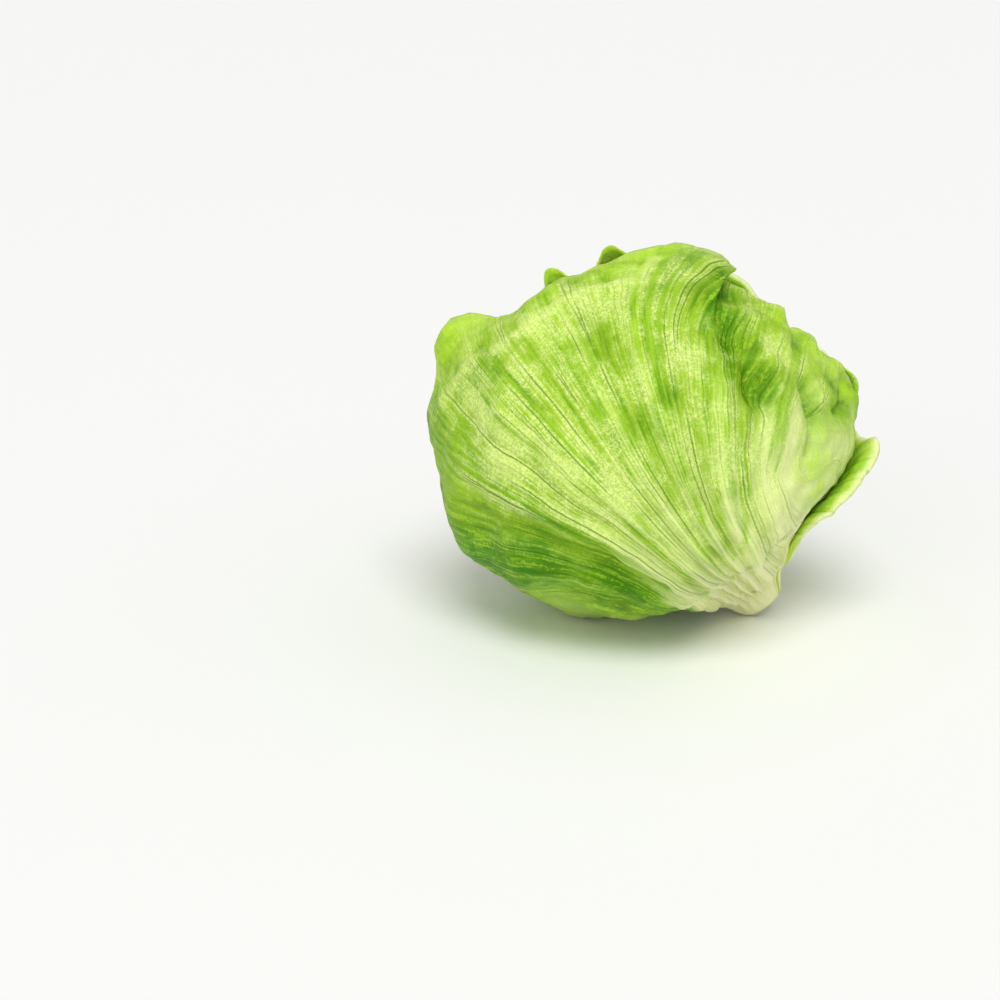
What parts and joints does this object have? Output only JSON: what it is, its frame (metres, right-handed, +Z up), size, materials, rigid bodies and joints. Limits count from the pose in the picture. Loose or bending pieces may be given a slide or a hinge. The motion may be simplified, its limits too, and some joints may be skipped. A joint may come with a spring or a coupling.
{
  "type": "lettuce head",
  "caption": "Whole iceberg lettuce head lying on its side, with separate waved wrapper leaves over a dense heart and a cut stem.",
  "frame": {"origin": "centre of the bounding box at its bottom, on the plane the head rests on", "axes": "+X to the right along the head from crown to stem, +Y to the back, +Z up"},
  "size_m": [0.1763, 0.161, 0.1514],
  "materials": {
    "stem": "moist pale cream cut stem",
    "heart": "pale yellow-green folded inner leaves",
    "leaf_front": "satin light green leaf with pale ribs and dark fine veins",
    "leaf_curled": "satin light green leaf, curled pale rim",
    "leaf_top": "satin green leaf with crinkled edge",
    "leaf_under": "satin light green leaf",
    "leaf_side": "satin light green leaf",
    "leaf_crown": "satin pale green leaf"
  },
  "bodies": {
    "root": {"stem": "stem", "heart": "heart", "leaf_front": "leaf_front", "leaf_curled": "leaf_curled", "leaf_top": "leaf_top", "leaf_under": "leaf_under", "leaf_side": "leaf_side", "leaf_crown": "leaf_crown"}
  },
  "joints": []
}
